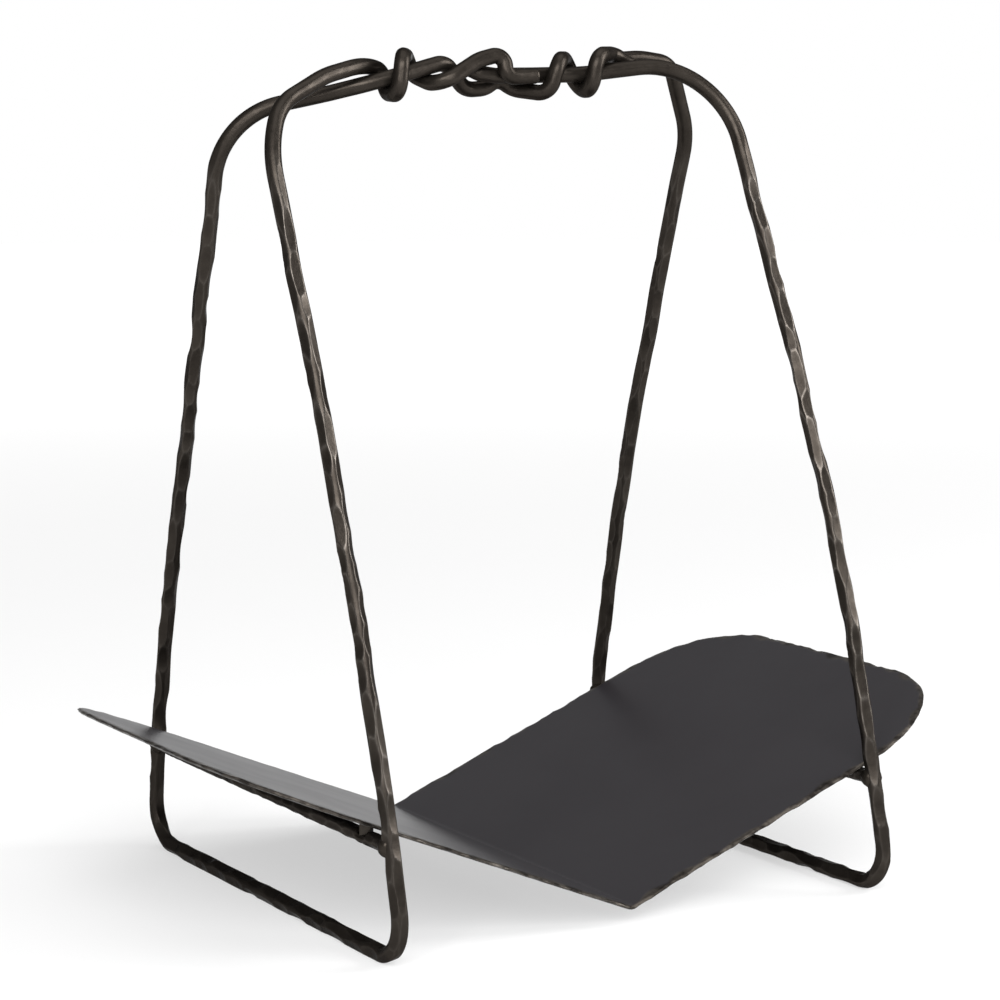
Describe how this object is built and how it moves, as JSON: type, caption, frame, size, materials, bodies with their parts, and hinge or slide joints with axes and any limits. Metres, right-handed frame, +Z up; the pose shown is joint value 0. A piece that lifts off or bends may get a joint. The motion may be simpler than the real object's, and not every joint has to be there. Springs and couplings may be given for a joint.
{
  "type": "photo album stand",
  "caption": "Tabletop stand of two bent hammered bars twisted together into a carrying handle, with a V-shaped sheet tray between them that holds photo albums.",
  "frame": {"origin": "on the floor, under the middle of the tray (centre of the bounding box in X and Y)", "axes": "+Z up, +X along the handle towards the loop with the two plain legs, +Y from the front legs to the back legs"},
  "size_m": [0.5034, 0.3467, 0.5084],
  "materials": {
    "rod": "satin",
    "tray": "satin",
    "weld": "satin",
    "fixings": "satin"
  },
  "bodies": {
    "root": {"loop_left": "rod", "loop_right": "rod", "rung_left": "rod", "rung_right": "rod", "tray": "tray", "weld_left_front": "weld", "weld_left_back": "weld", "weld_right_front": "weld", "weld_right_back": "weld", "boss_left_front": "fixings", "boss_left_back": "fixings", "boss_right_front": "fixings", "boss_right_back": "fixings", "screw_left_front": "fixings", "screw_left_back": "fixings", "screw_right_front": "fixings", "screw_right_back": "fixings"}
  },
  "joints": []
}
